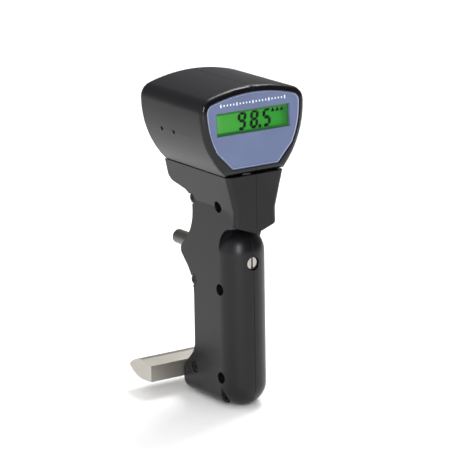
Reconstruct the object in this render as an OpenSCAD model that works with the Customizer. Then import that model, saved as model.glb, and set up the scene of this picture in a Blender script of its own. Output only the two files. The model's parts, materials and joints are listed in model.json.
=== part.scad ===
// Hand-held digital indentation hardness tester.
// Grip stands along +Z, the display faces -Y, the indenter and the foot point +Y.
// The origin is under the palm column, at the level of the lowest point of the grip.

/* [Handle] */
// Width of the grip and diameter of its palm column
body_w = 26.2; // [24:0.1:30]
// Height of the palm column
column_h = 98; // [90:0.5:110]
// Wall thickness of both plastic cases
wall = 2.2; // [1.6:0.1:3]
// Distance from the column axis to the finger side of the grip
grip_y = 24.6; // [22:0.1:28]
// How far the middle of the finger side bulges past its edges
finger_bulge = 4.5; // [2:0.1:6]
// Distance from the column axis to the heel behind the foot
heel_y = 35.8; // [32:0.1:38]
// Front of the neck, ahead of the column axis
neck_front = 16.5; // [14:0.1:20]

/* [Head] */
// Level of the parting line between handle and head
head_z = 130; // [125:0.5:140]
// Height of the display housing
head_h = 46; // [40:0.5:52]
// Greatest width of the display housing
head_w = 65; // [58:0.5:72]
// Distance from the column axis to the back of the head
head_back = 44.4; // [42:0.1:50]
// Lean of the display face away from the user
face_tilt = 2.4; // [0:0.1:6]
// Display opening, width
lcd_w = 46; // [40:0.5:50]
// Display opening, height
lcd_h = 12.2; // [10:0.1:14]

/* [Measuring parts] */
// Height of the indenter axis
axis_z = 80.3; // [76:0.1:84]
// Distance from the column axis to the face of the point sleeve
sleeve_end = 59.8; // [56:0.1:64]
// Outer diameter of the point sleeve
sleeve_d = 7.9; // [7:0.1:9]
// Travel of the indenter
travel = 0.76; // [0.5:0.01:1]
// Diameter of the plunger rod
plunger_d = 5; // [4:0.1:5.4]
// Radial running clearance
fit = 0.04; // [0.02:0.01:0.08]
// Centre distance from indenter axis to the edge of the foot
foot_drop = 66.7; // [60:0.1:72]
// Total width of the foot
foot_w = 66.6; // [50:0.2:80]

/* [Screws] */
// Diameter of the case screw wells
well_d = 6.2; // [6:0.1:7]
// Head diameter of the case screws
screw_head_d = 5.5; // [5:0.1:5.8]
// Thread diameter of the case screws
screw_d = 3; // [2.5:0.1:3]

/* [Hidden] */
$fn = 48;
e = 0.01;
big = 200;
half_w = body_w / 2;
column_top = column_h - half_w;

// Finger side of the grip: radii of the heel, of the boss round the sleeve and of its flare
floor_z = 2;
heel_r = 7;
heel_top_r = 5;
boss_r = 3.6;
flare_r = 22.6;
flange_y = head_back - 0.2;
handle_top = head_z - 0.7;

// Levels of the three rows of case screws, and their two columns
well_rows = [16.6, 65.3, 110.4];
well_front_y = 0.05;
well_back_y = grip_y + 0.5;
// Depth of the seats of the screw heads, from the middle plane
front_seat = 7;
back_seat = 10.4;
// How far the case screws reach past the middle plane
case_screw_end = 9.5;
clamp_x = 5;

// Lever: the pivot is lever_short under the axis and the top end lever_long above the pivot.
lever_short = 12;
lever_ratio = 4.2;
lever_long = lever_short * lever_ratio;
pivot_y = 12;
pivot_z = axis_z - lever_short;
sensor_z = pivot_z + lever_long;

pivot_r = 1.5;
adjuster_r = 3.2;
sleeve_thread_r = sleeve_d / 2 - 0.2;

foot_tip_z = axis_z - foot_drop;
foot_half = 5.6;
foot_len = 22.1;
foot_front_y = sleeve_end - foot_len;
stem_half = 4.8;
stem_gap = 0.15;
leg_screw_r = 2;
stem_low = foot_tip_z - 3.4;
stem_high = foot_tip_z + 1;

lcd_z = head_z + 27.8;
trim_z = head_z + 20.4;
trim_y = [14.7, 26.1];
button_z = head_z + 18.6;
button_y = [20, 31.4];

black = [0.13, 0.13, 0.14];
steel = [0.72, 0.72, 0.7];
dark_steel = [0.42, 0.42, 0.4];
board = [0.1, 0.32, 0.18];

// ---------------------------------------------------------------- helpers

// Points of an arc round (cx, cy) from angle a0 to a1 in n steps
function arc(cx, cy, r, a0, a1, n) =
    [for (i = [0:n]) let(a = a0 + (a1 - a0) * i / n) [cx + r * cos(a), cy + r * sin(a)]];

// A cylinder whose axis lies along X, from x0 to x1
module rod_x(r, x0, x1) {
    translate([x0, 0, 0]) rotate([0, 90, 0]) cylinder(r = r, h = x1 - x0);
}

// A cylinder whose axis lies along Y, from y0 to y1
module rod_y(r, y0, y1) {
    translate([0, y1, 0]) rotate([90, 0, 0]) cylinder(r = r, h = y1 - y0);
}

// A box given by its two corners
module box(a, b) {
    translate(a) cube(b - a);
}

// A YZ outline made into a plate between x0 and x1
module plate(x0, x1) {
    translate([x0, 0, 0]) rotate([90, 0, 90]) linear_extrude(height = x1 - x0) children();
}

// An XZ outline made into a block between y0 and y1
module block(y0, y1) {
    translate([0, y1, 0]) rotate([90, 0, 0]) linear_extrude(height = y1 - y0) children();
}

// One side of the middle plane: side -1 keeps the left half, +1 the right half
module half_space(side) {
    translate([side < 0 ? -big : 0, -big / 2, -big / 2]) cube([big, big, 2 * big]);
}

// ---------------------------------------------------------------- finger side of the grip

// The finger side is a chain of lines and arcs in the YZ plane, walked upwards.
// ["line", length] or ["arc", radius, turn]: a turn to the left is a convex corner.
// t moves the chain inwards by t, for the inside of the wall.
heel_rise = 4;
heel_run = heel_y - grip_y - (heel_top_r + 12) * (1 - cos(45));
heel_end_z = floor_z + heel_r + heel_rise + (heel_top_r + 12) * sin(45) + heel_run;
boss_run = 6.33;
boss_reach = boss_r * sin(45) + boss_run * sin(45) + flare_r * sin(45);
recess_z = 106.5;
recess_r = 8.6;
beak_turn = 78;
beak_r = 5;
beak_y = grip_y + recess_r * (1 - cos(beak_turn));
beak_run = (flange_y - beak_y - beak_r * (1 - cos(beak_turn))) / cos(90 - beak_turn);

function finger_side(t) = [
    ["arc", heel_r - t, 90],
    ["line", heel_rise],
    ["arc", heel_top_r - t, 45],
    ["line", heel_run / sin(45)],
    ["arc", 12 + t, -45],
    ["line", axis_z - boss_reach - heel_end_z],
    ["arc", flare_r + t, -45],
    ["line", boss_run],
    ["arc", boss_r - t, 90],
    ["line", boss_run],
    ["arc", flare_r + t, -45],
    ["line", recess_z - axis_z - boss_reach],
    ["arc", recess_r + t, -beak_turn],
    ["line", beak_run],
    ["arc", beak_r - t, beak_turn],
    ["line", 12]
];

// Where a segment that starts at state s = [y, z, heading] ends
function walk(s, seg) = seg[0] == "line"
    ? [s[0] + seg[1] * cos(s[2]), s[1] + seg[1] * sin(s[2]), s[2]]
    : let(side = sign(seg[2]), h = s[2] + seg[2])
      [s[0] + side * seg[1] * (sin(h) - sin(s[2])), s[1] - side * seg[1] * (cos(h) - cos(s[2])), h];

function states(segs, s, i = 0) = i == len(segs)
    ? [s]
    : concat([s], states(segs, walk(s, segs[i]), i + 1));

// States along the chain, with every arc cut into steps of about ten degrees
function chain_states(segs, s) = let(st = states(segs, s)) concat(
    [for (i = [0:len(segs) - 1])
        let(n = segs[i][0] == "line" ? 1 : ceil(abs(segs[i][2]) / 10))
        for (k = [0:n - 1])
            segs[i][0] == "line" ? st[i] : walk(st[i], ["arc", segs[i][1], segs[i][2] * k / n])],
    [st[len(segs)]]);

function chain_points(segs, s) = [for (p = chain_states(segs, s)) [p[0], p[1]]];

function chain_start(t) = [heel_y - heel_r, floor_z + t, 0];

// The finger side bulges across the width: how far it stands out at x.
// Past the sides, where only the flare of the neck is left, it falls away slowly.
function bulge(x) = abs(x) < half_w
    ? finger_bulge * (1 - pow(x / half_w, 2))
    : -pow((abs(x) - half_w) / 5, 2);

// What lies outside the finger side: a skin of points swept along the chain, closed at a far plane
module finger_side_cut() {
    rows = chain_states(finger_side(0), chain_start(0));
    last = len(rows) - 1;
    strips = 15;
    reach = neck_top_w + 1;
    far = head_back + 10;
    across = [for (i = [0:strips]) reach * (2 * i / strips - 1)];
    skin = [for (s = rows) for (x = across)
        [x, s[0] + bulge(x) * sin(s[2]), s[1] - bulge(x) * cos(s[2])]];
    first_far = len(skin);
    ends = [for (j = [0, last]) for (i = [0:strips]) [across[i], far, skin[j * (strips + 1) + i][2]]];
    polyhedron(
        points = concat(skin, ends),
        faces = concat(
            [for (j = [0:last - 1]) for (i = [0:strips - 1]) for (half = [0, 1])
                let(a = j * (strips + 1) + i, b = a + strips + 1)
                half == 0 ? [a, b, b + 1] : [a, b + 1, a + 1]],
            // underside and top
            [for (i = [0:strips - 1])
                [i, i + 1, first_far + i + 1, first_far + i]],
            [for (i = [0:strips - 1])
                let(a = last * (strips + 1) + i, b = first_far + strips + 1 + i)
                [a, b, b + 1, a + 1]],
            // far plane
            [concat([for (i = [0:strips]) first_far + i],
                [for (i = [strips:-1:0]) first_far + strips + 1 + i])],
            // both ends across the width
            [concat([0, first_far, first_far + strips + 1], [for (j = [last:-1:1]) j * (strips + 1)])],
            [concat([for (j = [0:last]) j * (strips + 1) + strips],
                [first_far + 2 * strips + 1, first_far + strips])]));
}

// ---------------------------------------------------------------- outer shapes of the cases

// Plan outline of the neck: half width w, rounded front corners, from the front to y1
function neck_plan(w, front, r, y1) = concat(
    [[w, y1], [-w, y1]],
    arc(-w + r, -front + r, r, 180, 270, 6),
    arc(w - r, -front + r, r, 270, 360, 6));

neck_flare_z = 110;
neck_edge_r = 3;
neck_low = 102;
neck_tip = 97.3;

// Half width of the head at height z: a long arc that starts upright at the shoulder
shoulder_r = 8;
shoulder_z = head_z + head_h - 11.4;
side_r = 49.2;
function head_half(z) = head_w / 2 - side_r + sqrt(side_r * side_r - pow(shoulder_z - z, 2));
neck_top_w = head_half(head_z) - 0.2;

module column(r, z0, z1) {
    translate([0, 0, z0]) cylinder(r = r, h = z1 - z0);
    translate([0, 0, z0]) sphere(r = r);
    translate([0, 0, z1]) sphere(r = r);
}

// Flat-sided part of the grip, with its lower edges rounded, up to the start of the neck flare
module slab() {
    low_r = 5;
    intersection() {
        plate(-half_w, half_w) polygon(concat(
            [[0, floor_z], [flange_y, floor_z], [flange_y, neck_flare_z]],
            [[-neck_front + neck_edge_r, neck_flare_z], [-neck_front + neck_edge_r, neck_low]],
            arc(-half_w + 0.6, 88, half_w - 0.6, 90, 0, 8)));
        block(-big / 4, big / 4) {
            translate([-half_w, floor_z + low_r]) square([body_w, big]);
            translate([-half_w + low_r, floor_z]) square([body_w - 2 * low_r, big]);
            for (s = [-1, 1])
                translate([s * (half_w - low_r), floor_z + low_r]) circle(r = low_r);
        }
    }
}

module neck() {
    r = neck_edge_r;
    // lower corners rounded between the side and the slanting edge
    slope = atan((neck_low - neck_tip) / half_w);
    corner_x = half_w - r;
    corner_z = neck_tip + (corner_x * sin(slope) + r) / cos(slope);
    corner = arc(corner_x, corner_z, r, slope - 90, 0, 5);
    intersection() {
        translate([0, 0, neck_tip]) linear_extrude(height = neck_flare_z - neck_tip)
            polygon(neck_plan(half_w, neck_front, r, 2));
        block(-big / 4, big / 4)
            polygon(concat([[0, neck_tip]], corner, [[half_w, big], [-half_w, big]],
                [for (k = [len(corner) - 1:-1:0]) [-corner[k][0], corner[k][1]]]));
    }
    hull() {
        translate([0, 0, neck_flare_z]) linear_extrude(height = e)
            polygon(neck_plan(half_w, neck_front, r, flange_y));
        translate([0, 0, handle_top - e]) linear_extrude(height = e)
            polygon(neck_plan(neck_top_w, neck_front, r, flange_y));
    }
}

module handle_outer(side) {
    difference() {
        intersection() {
            union() {
                column(half_w, half_w, column_top);
                slab();
                neck();
            }
            half_space(side);
        }
        finger_side_cut();
        foot_pocket();
    }
}

// Room in the bulging heel for the foot bar, and the opening for its stem
module foot_pocket() {
    box([-half_w - 1, foot_front_y - 0.6, foot_tip_z - foot_half - 1.5],
        [half_w + 1, big, foot_tip_z + foot_half + 1.5]);
}

module handle_cavity() {
    inner = half_w - wall;
    // a touch narrower than the palm column's inside, so that no faces are tangent
    side = inner - 0.2;
    top_w = neck_top_w - wall;
    back = concat(chain_points(finger_side(wall), chain_start(wall)), [[flange_y - wall, handle_top + 1]]);
    column(inner, half_w, column_top);
    plate(-side, side) intersection() {
        polygon(concat(back, [[0, handle_top + 1], [0, floor_z + wall]]));
        translate([-big / 2, 0]) square([big, neck_flare_z + 0.3]);
    }
    box([-side, -neck_front + wall, neck_low + wall], [side, 5, neck_flare_z + 0.3]);
    // flared inside of the neck: its back follows the finger side
    intersection() {
        plate(-big / 4, big / 4)
            polygon(concat(back, [[-big / 4, handle_top + 1], [-big / 4, floor_z + wall]]));
        hull() {
            translate([0, 0, neck_flare_z]) linear_extrude(height = e)
                polygon(neck_plan(side, neck_front - wall, 1, flange_y));
            translate([0, 0, handle_top]) linear_extrude(height = 1)
                polygon(neck_plan(top_w, neck_front - wall, 1, flange_y));
        }
    }
}

// Head outline in the XZ plane, moved inwards by i
function head_outline(i) = let(
    c = [head_w / 2 - shoulder_r, shoulder_z],
    top_r = 93.6,
    top = [0, head_z + head_h - top_r],
    a_top = atan2(c[1] - top[1], c[0] - top[0]),
    side_c = [head_w / 2 - side_r, shoulder_z],
    low = head_z + i,
    a_low = -asin((shoulder_z - low) / (side_r - i)),
    right = concat(
        arc(side_c[0], side_c[1], side_r - i, a_low, 0, 8),
        arc(c[0], c[1], shoulder_r - i, 12, a_top, 6),
        arc(top[0], top[1], norm(c - top) + shoulder_r - i, a_top, 90, 7)))
    concat(right, [for (k = [len(right) - 2:-1:0]) [-right[k][0], right[k][1]]]);

face_y = -neck_front - 0.3;

// Places a child in the plane of the display face, with z still measured from the ground
module on_face() {
    translate([0, face_y, head_z]) rotate([-face_tilt, 0, 0]) translate([0, 0, -head_z]) children();
}

module head_slab(y, i) {
    block(y, y + e) polygon(head_outline(i));
}

module head_outer() {
    hull() {
        on_face() {
            head_slab(0, 3);
            head_slab(0.45, 1.5);
            head_slab(1.4, 0.5);
            head_slab(3, 0);
        }
        head_slab(head_back - 2, 0);
        head_slab(head_back - 0.6, 0.6);
        head_slab(head_back - e, 2);
    }
}

// Panel outline: the head outline moved in by the rim, with its lower corners cut off
rim = 3.2;
panel_low = head_z + rim;
module panel_outline(i) {
    corner = head_half(panel_low) - rim;
    intersection() {
        polygon(head_outline(rim + i));
        polygon([[-corner + 3.6 + i, panel_low], [corner - 3.6 - i, panel_low],
            [corner + 1.4 - i, panel_low + 5.2], [corner + 1.4 - i + 30, panel_low + 36],
            [corner + 30, panel_low + 60], [-corner - 30, panel_low + 60],
            [-corner - 1.4 + i - 30, panel_low + 36], [-corner - 1.4 + i, panel_low + 5.2]]);
    }
}

panel_y = 0.8;
panel_t = 1.6;
// width of the ledge that the panel rests on
ledge = 1.2;

module head_cavity() {
    difference() {
        block(face_y + 7, head_back - wall) polygon(head_outline(wall));
        // bosses that carry the frame, and the posts of the case screws
        for (p = neck_screw_at)
            translate([p[0], p[1], head_z]) cylinder(r = 3, h = 5);
    }
    on_face() {
        block(panel_y + panel_t, 9) polygon(head_outline(rim + ledge));
        block(-2, panel_y + panel_t) panel_outline(0);
    }
    // way down into the neck
    box([-9, -8, head_z - 1], [9, 17, head_z + wall + 1]);
}

neck_screw_at = [[-6.5, 22, 0], [6.5, 22, 0], [-6.5, 37, 0], [6.5, 37, 0]];

// ---------------------------------------------------------------- head cases

head_posts = [[3.5, head_z + 8], [38, head_z + 8], [0.5, head_z + head_h - 12]];
// Where a post of radius r at height z ends inside the side wall of the head
function post_end(z, r) = min(head_half(z - r), head_half(z + r)) - 0.8;

module head_post(side) {
    for (p = head_posts)
        translate([0, p[0], p[1]]) difference() {
            rod_x(3.4, side < 0 ? -post_end(p[1], 3.4) : 0, side < 0 ? 0 : post_end(p[1], 3.4));
            rod_x(side < 0 ? screw_d / 2 : screw_d / 2 + 0.2, side < 0 ? -12 : -1, side < 0 ? 1 : 40);
        }
}

// Posts on the side walls that the circuit boards are screwed to
module board_posts(side) {
    if (side < 0)
        for (p = mboard_screw)
            translate([0, p[0], p[1]]) difference() {
                rod_x(2.2, -post_end(p[1], 2.2), mboard_x);
                rod_x(small_screw_r + 0.02, mboard_x - board_screw_l - 0.3, mboard_x + 1);
            }
    else
        for (p = bboard_screw)
            translate([0, p[0], p[1]]) difference() {
                rod_x(1.5, bboard_x + board_t, post_end(p[1], 1.5));
                rod_x(small_screw_r + 0.02, bboard_x, bboard_x + board_t + board_screw_l + 0.3);
            }
}

// Groove along the seam of the two halves: outlines are those of the middle plane, moved in
seam_w = 0.24;
seam_deep = 0.4;

module head_seam() {
    d = seam_deep;
    lean = tan(face_tilt);
    difference() {
        box([-seam_w / 2, -big / 4, head_z - 1], [seam_w / 2, big / 2, big]);
        plate(-1, 1) polygon([
            [face_y + d, head_z - 2], [face_y + d + lean * head_h, head_z + head_h - d],
            [head_back - d, head_z + head_h - d], [head_back - d, head_z - 2]]);
    }
}

module handle_seam() {
    d = seam_deep;
    back = chain_points(finger_side(d - finger_bulge), chain_start(d - finger_bulge));
    difference() {
        box([-seam_w / 2, -big / 4, -1], [seam_w / 2, big / 2, handle_top + 1]);
        plate(-1, 1) {
            translate([0, column_top]) circle(r = half_w - d);
            translate([0, half_w]) circle(r = half_w - d);
            translate([-half_w + d, half_w]) square([half_w, column_top - half_w]);
            intersection() {
                polygon(concat(back, [[big / 2, handle_top + 2], [-neck_front + d, handle_top + 2],
                    [-neck_front + d, neck_tip + d], [0, neck_tip + d], [0, floor_z + d]]));
                translate([-big / 4, floor_z + d]) square([big / 4 + flange_y - d, big]);
            }
        }
    }
}

module head_case(side) {
    difference() {
        union() {
            intersection() {
                difference() {
                    head_outer();
                    head_cavity();
                }
                half_space(side);
            }
            head_post(side);
            board_posts(side);
        }
        for (p = neck_screw_at)
            translate([p[0], p[1], head_z - 8]) cylinder(r = screw_d / 2, h = 12.5);
        battery_door_opening();
        head_seam();
        if (side > 0) {
            for (p = head_posts)
                translate([0, p[0], p[1]]) rod_x(3, head_half(p[1]) - 8, 40);
            for (y = button_y)
                translate([0, y, button_z]) rod_x(3.6, 20, 40);
        } else {
            for (y = trim_y)
                translate([0, y, trim_z]) rod_x(1.1, -40, -20);
        }
    }
    // dowels under the head hold it down onto the frame
    for (p = neck_screw_at)
        if (p[0] * side > 0)
            translate([p[0], p[1], frame_top]) difference() {
                cylinder(r = 3, h = head_z - frame_top + 0.5);
                translate([0, 0, -1]) cylinder(r = screw_d / 2, h = 12);
            }
}

module head_left() {
    color(black) head_case(-1);
}

module head_right() {
    color(black) head_case(1);
}

door_w = 54;
door_h = 16.4;
door_z = head_z + 32;

module battery_door_opening() {
    box([-door_w / 2, head_back - wall - 1, door_z - door_h / 2],
        [door_w / 2, head_back + 1, door_z + door_h / 2]);
}

module battery_door() {
    gap = 0.25;
    color(black) {
        box([-door_w / 2 + gap, head_back - wall, door_z - door_h / 2 + gap],
            [door_w / 2 - gap, head_back, door_z + door_h / 2 - gap]);
        // finger grip ribs
        for (k = [-2:2])
            box([k * 3 - 0.6, head_back - e, door_z - 5], [k * 3 + 0.6, head_back + 0.5, door_z + 5]);
        // clips that snap past the edge of the opening
        for (x = [-18, 18])
            box([x - 3, head_back - wall - 1.6, door_z - door_h / 2 + gap],
                [x + 3, head_back - wall + e, door_z - door_h / 2 + gap + 1.2]);
    }
}

// ---------------------------------------------------------------- handle cases

// The front screws clamp the frame between two tubes, the rear tubes meet in the middle
module at_front_wells() {
    for (z = well_rows)
        translate([0, well_front_y, z]) children();
}

module at_back_wells() {
    for (z = well_rows)
        translate([0, well_back_y, z]) children();
}

// Well and hole of a case screw on the left half, threaded hole on the right half
module screw_well(side, seat) {
    if (side < 0) {
        rod_x(well_d / 2, -half_w - 1, -seat);
        rod_x(screw_d / 2 + 0.1, -half_w, 0);
    } else {
        rod_x(screw_d / 2, 0, half_w - wall);
    }
}

// Screw tube of one case half, from its wall to x = inner_end
module screw_tube(side, inner_end) {
    if (side < 0)
        rod_x(4.3, -half_w - 1, -inner_end);
    else
        rod_x(3, inner_end, half_w - 0.5);
}

module handle_case(side) {
    difference() {
        union() {
            difference() {
                handle_outer(side);
                handle_cavity();
            }
            // screw tubes, cut to the outside of the grip
            intersection() {
                union() {
                    at_front_wells() screw_tube(side, clamp_x);
                    at_back_wells() screw_tube(side, 0);
                }
                handle_outer(side);
            }
        }
        at_front_wells() screw_well(side, front_seat);
        at_back_wells() screw_well(side, back_seat);
        translate([0, 0, axis_z]) rod_y(3.7, -half_w - 1, -2);
        translate([0, 0, axis_z]) rod_y(sleeve_d / 2 + 0.15, 20, big);
        handle_seam();
        // opening for the stem of the foot
        box([-stem_half - stem_gap, 20, stem_low - stem_gap],
            [stem_half + stem_gap, big, stem_high + stem_gap]);
    }
}

module handle_left() {
    color(black) handle_case(-1);
}

module handle_right() {
    color(black) handle_case(1);
}

// ---------------------------------------------------------------- display

lcd_y = panel_y + panel_t;
cell_half = lcd_w / 2 + 0.3;
window_t = 0.8;
// the cell lies a little behind the window
display_cell_y = lcd_y + window_t + 1.4;
display_cell_t = 1.8;
dboard_y = lcd_y + 6.4;
board_t = 1.6;
small_screw_r = 0.8;
cell_low = lcd_z - lcd_h / 2 - 4;
cell_high = lcd_z + lcd_h / 2 + 2;
// Two screws in the lower lip of the holder and two in the upper one
lip = [3.3, 2.6];
dboard_screw = [for (s = [-1, 1]) each [[s * 18, cell_low - lip[0] / 2], [s * 12, cell_high + lip[1] / 2]]];

// A block of the display stack: as wide as the ledge allows, from z0 to z1
module behind_panel(y0, y1, z0, z1) {
    block(y0, y1) intersection() {
        polygon(head_outline(rim + ledge + 0.3));
        translate([-cell_half - 1.2, z0]) square([2 * cell_half + 2.4, z1 - z0]);
    }
}

module display_panel() {
    color([0.36, 0.4, 0.53]) on_face() difference() {
        block(panel_y, panel_y + panel_t) panel_outline(0.15);
        box([-lcd_w / 2, -1, lcd_z - lcd_h / 2], [lcd_w / 2, 5, lcd_z + lcd_h / 2]);
    }
}

module lcd_window() {
    color([0.8, 0.9, 0.85, 0.35]) on_face()
        box([-lcd_w / 2 - 1.5, lcd_y, lcd_z - lcd_h / 2 - 1.5],
            [lcd_w / 2 + 1.5, lcd_y + window_t, lcd_z + lcd_h / 2 + 1.5]);
}

module lcd_cell() {
    color([0.25, 0.7, 0.25]) on_face()
        box([-cell_half, display_cell_y, cell_low],
            [cell_half, display_cell_y + display_cell_t, cell_high]);
}

module lcd_holder() {
    color([0.2, 0.2, 0.2]) on_face() difference() {
        behind_panel(lcd_y + window_t, dboard_y, cell_low - lip[0], cell_high + lip[1]);
        box([-cell_half, lcd_y, cell_low], [cell_half, dboard_y + 1, cell_high]);
        for (p = dboard_screw)
            translate([p[0], 0, p[1]]) rod_y(small_screw_r, dboard_y - 4, dboard_y + 1);
    }
}

module backlight() {
    color([0.85, 0.95, 0.8]) on_face()
        box([-lcd_w / 2, display_cell_y + display_cell_t, lcd_z - lcd_h / 2 - 1],
            [lcd_w / 2, dboard_y, lcd_z + lcd_h / 2 + 1]);
}

module zebra_strips() {
    color([0.85, 0.5, 0.6]) on_face()
        for (x = [-11.75, 11.75])
            box([x - 10.5, display_cell_y + display_cell_t, cell_low + 0.4],
                [x + 10.5, dboard_y, cell_low + 2.6]);
}

module display_board() {
    color(board) on_face() difference() {
        behind_panel(dboard_y, dboard_y + board_t, cell_low - lip[0], cell_high + lip[1]);
        for (p = dboard_screw)
            translate([p[0], 0, p[1]]) rod_y(small_screw_r + 0.1, dboard_y - 1, dboard_y + 3);
    }
}

module display_board_screws() {
    color(steel) on_face()
        for (p = dboard_screw)
            translate([p[0], 0, p[1]]) {
                rod_y(small_screw_r, dboard_y - 3.8, dboard_y + board_t);
                rod_y(1.4, dboard_y + board_t, dboard_y + board_t + 1);
            }
}

module display_chips() {
    color([0.1, 0.1, 0.1]) on_face() {
        box([-7, dboard_y + board_t, lcd_z - 10], [7, dboard_y + board_t + 2.2, lcd_z + 0]);
        for (x = [-15, 12])
            box([x, dboard_y + board_t, lcd_z - 6], [x + 4, dboard_y + board_t + 1.5, lcd_z - 2]);
    }
}

// ---------------------------------------------------------------- main board and trimmers

mboard_x = -18;
mboard_z = [head_z + 6, head_z + 23.4];
mboard_screw = [[12, head_z + 9], [31, head_z + 9]];
bboard_x = 18;
bboard_screw = [[13.8, button_z], [37.5, button_z]];

module main_board() {
    color(board) difference() {
        box([mboard_x, 7.5, mboard_z[0]], [mboard_x + board_t, 33.6, mboard_z[1]]);
        for (p = mboard_screw)
            translate([0, p[0], p[1]]) rod_x(small_screw_r + 0.1, mboard_x - 1, mboard_x + 3);
    }
}

// Length of a board screw beyond its board
board_screw_l = 3.8;

// Small self-tapping screw along -X through a board whose inner face is at the origin
module board_screw() {
    rod_x(small_screw_r, -board_t - board_screw_l, 0);
    rod_x(1.4, 0, 1);
}

module main_board_screws() {
    color(steel)
        for (p = mboard_screw)
            translate([mboard_x + board_t, p[0], p[1]]) board_screw();
}

module button_board_screws() {
    color(steel)
        for (p = bboard_screw)
            translate([bboard_x, p[0], p[1]]) mirror([1, 0, 0]) board_screw();
}

module main_chips() {
    color([0.1, 0.1, 0.1]) {
        box([mboard_x + board_t, 16, head_z + 10], [mboard_x + board_t + 2, 26, head_z + 20]);
        box([mboard_x + board_t, 28, head_z + 12.5], [mboard_x + board_t + 1.8, 32, head_z + 16]);
        translate([mboard_x + board_t, 30, head_z + 20]) rod_x(2, 0, 5);
    }
}

module board_header() {
    color([0.15, 0.15, 0.15])
        box([mboard_x - 2, dboard_y + face_y + 3, head_z + 17.6], [mboard_x, 9.5, head_z + 20.6]);
}

module trimmer_body(y) {
    color([0.15, 0.3, 0.65]) translate([0, y, trim_z]) difference() {
        box([mboard_x - 6.4, -4, -3.6], [mboard_x, 4, 2.8]);
        rod_x(1.1 + fit, mboard_x - 7, mboard_x - 3);
    }
}

module trimmer_screw(y) {
    color([0.75, 0.6, 0.3]) translate([0, y, trim_z]) difference() {
        rod_x(1.1, mboard_x - 7.2, mboard_x - 3);
        box([mboard_x - 7.3, -0.2, -2], [mboard_x - 6.7, 0.2, 2]);
    }
}

module zero_trimmer() {
    trimmer_body(trim_y[1]);
}

module span_trimmer() {
    trimmer_body(trim_y[0]);
}

module zero_screw() {
    trimmer_screw(trim_y[1]);
}

module span_screw() {
    trimmer_screw(trim_y[0]);
}

// ---------------------------------------------------------------- buttons on the right side

button_face = head_half(button_z) + 0.4;

module button_board() {
    color(board) difference() {
        box([bboard_x, 12, button_z - 5], [bboard_x + board_t, 39, button_z + 4.6]);
        for (p = bboard_screw)
            translate([0, p[0], p[1]]) rod_x(small_screw_r + 0.1, bboard_x - 1, bboard_x + 3);
    }
}

module tact_switches() {
    color([0.3, 0.3, 0.32])
        for (y = button_y)
            box([bboard_x + board_t, y - 3, button_z - 3], [bboard_x + 5.1, y + 3, button_z + 3]);
}

module push_button(y) {
    color([0.25, 0.25, 0.27]) translate([0, y, button_z]) {
        rod_x(3.3, bboard_x + 6.1, button_face);
        rod_x(4.6, bboard_x + 6.1, bboard_x + 7);
    }
}

module power_button() {
    push_button(button_y[0]);
}

module hold_button() {
    push_button(button_y[1]);
}

// ---------------------------------------------------------------- batteries

cell_r = 7.25;
cell_l = 50.5;
cell_z = door_z;
cell_y = [head_back - wall - 10.2, head_back - wall - 25.2];

module battery_tray() {
    color([0.12, 0.12, 0.12]) difference() {
        box([-28, cell_y[1] - 8.3, cell_z - 8.6], [28, cell_y[0] + 8, cell_z - 2]);
        for (y = cell_y)
            translate([0, y, cell_z]) rod_x(cell_r, -cell_l / 2 - 1.2, cell_l / 2 + 1.2);
        box([-cell_l / 2 - 1.2, cell_y[1] - 6, cell_z - 6], [cell_l / 2 + 1.2, cell_y[0] + 6, cell_z]);
    }
}

module battery_contacts() {
    color([0.75, 0.72, 0.6])
        for (s = [-1, 1])
            for (y = cell_y)
                translate([0, y, cell_z])
                    box([s * (cell_l / 2 + 0.6) - 0.6, -4.5, -4.5], [s * (cell_l / 2 + 0.6) + 0.6, 4.5, 4.5]);
}

module battery_cells() {
    color([0.7, 0.55, 0.2])
        for (k = [0, 1])
            translate([0, cell_y[k], cell_z]) mirror([k, 0, 0]) {
                rod_x(cell_r, -cell_l / 2, cell_l / 2 - 1);
                rod_x(2.7, cell_l / 2 - 1 - e, cell_l / 2);
            }
}

// ---------------------------------------------------------------- screws

// Pan head screw along +X, head at the start
module pan_screw_x(length) {
    difference() {
        union() {
            rod_x(screw_head_d / 2, -2.2, 0);
            rod_x(screw_d / 2, -e, length);
        }
        box([-3, -0.4, -2], [-1.2, 0.4, 2]);
        box([-3, -2, -0.4], [-1.2, 2, 0.4]);
    }
}

module case_screws() {
    color(dark_steel) {
        at_front_wells() translate([-front_seat, 0, 0]) pan_screw_x(front_seat + case_screw_end);
        at_back_wells() translate([-back_seat, 0, 0]) pan_screw_x(back_seat + case_screw_end);
    }
}

module head_case_screws() {
    color(dark_steel)
        for (p = head_posts)
            translate([head_half(p[1]) - 8, p[0], p[1]]) mirror([1, 0, 0])
                pan_screw_x(head_half(p[1]) - 8 + 6);
}

module neck_screws() {
    color(steel)
        for (p = neck_screw_at)
            translate([p[0], p[1], frame_top - 3.4]) rotate([0, -90, 0]) pan_screw_x(11);
}

// ---------------------------------------------------------------- frame

frame_top = head_z - 4.6;
barrel_r = 9.5;
barrel_end = 24.2;
spring_bore = 4.7;
collar_y = 7.2;
slot_y = [8, 19.9];
// everything of the frame stays clear of the rear screw tubes
frame_back = 20.4;
spine_y = [15.2, 19.2];
bracket_screw = [[17, sensor_z - 1.5], [17, sensor_z + 1.5]];
leg_screw_y = [11.5, 17];

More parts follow.
